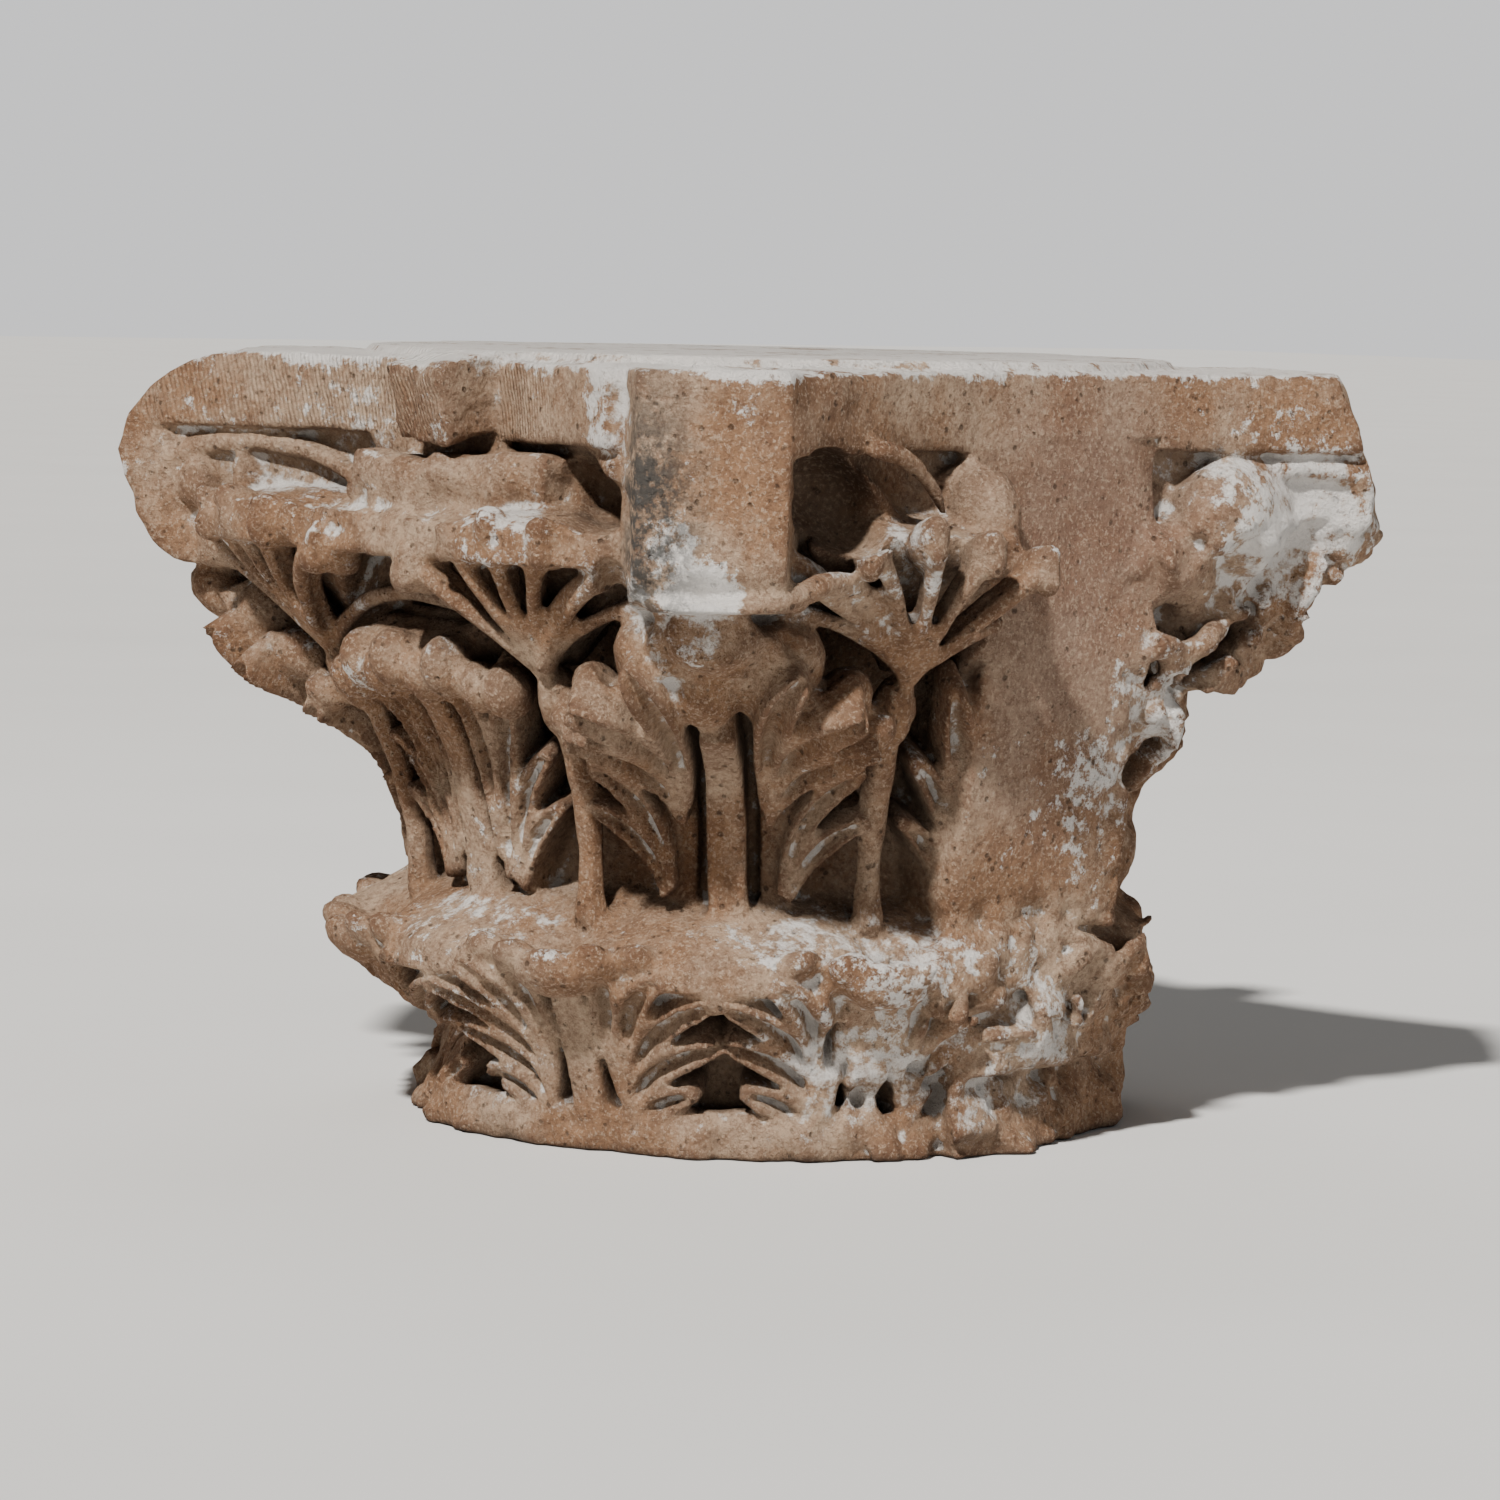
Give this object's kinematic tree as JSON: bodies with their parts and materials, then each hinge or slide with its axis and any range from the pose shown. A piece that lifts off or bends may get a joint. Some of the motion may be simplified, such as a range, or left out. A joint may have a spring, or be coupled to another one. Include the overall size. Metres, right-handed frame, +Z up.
{
  "type": "marble capital",
  "caption": "Weathered marble capital with carved acanthus leaves, fluted stems and a hollow-sided abacus, broken at its corners.",
  "frame": {"origin": "centre of the lower bed, the flat underside that sits on the column shaft", "axes": "+Z up along the column's axis; -Y out of the middle of the face with the boss; +X out of the middle of the sheared face"},
  "size_m": [0.7412, 0.742, 0.53],
  "materials": {
    "marble": "rough weathered stone"
  },
  "bodies": {
    "root": {"capital": "marble"}
  },
  "joints": []
}
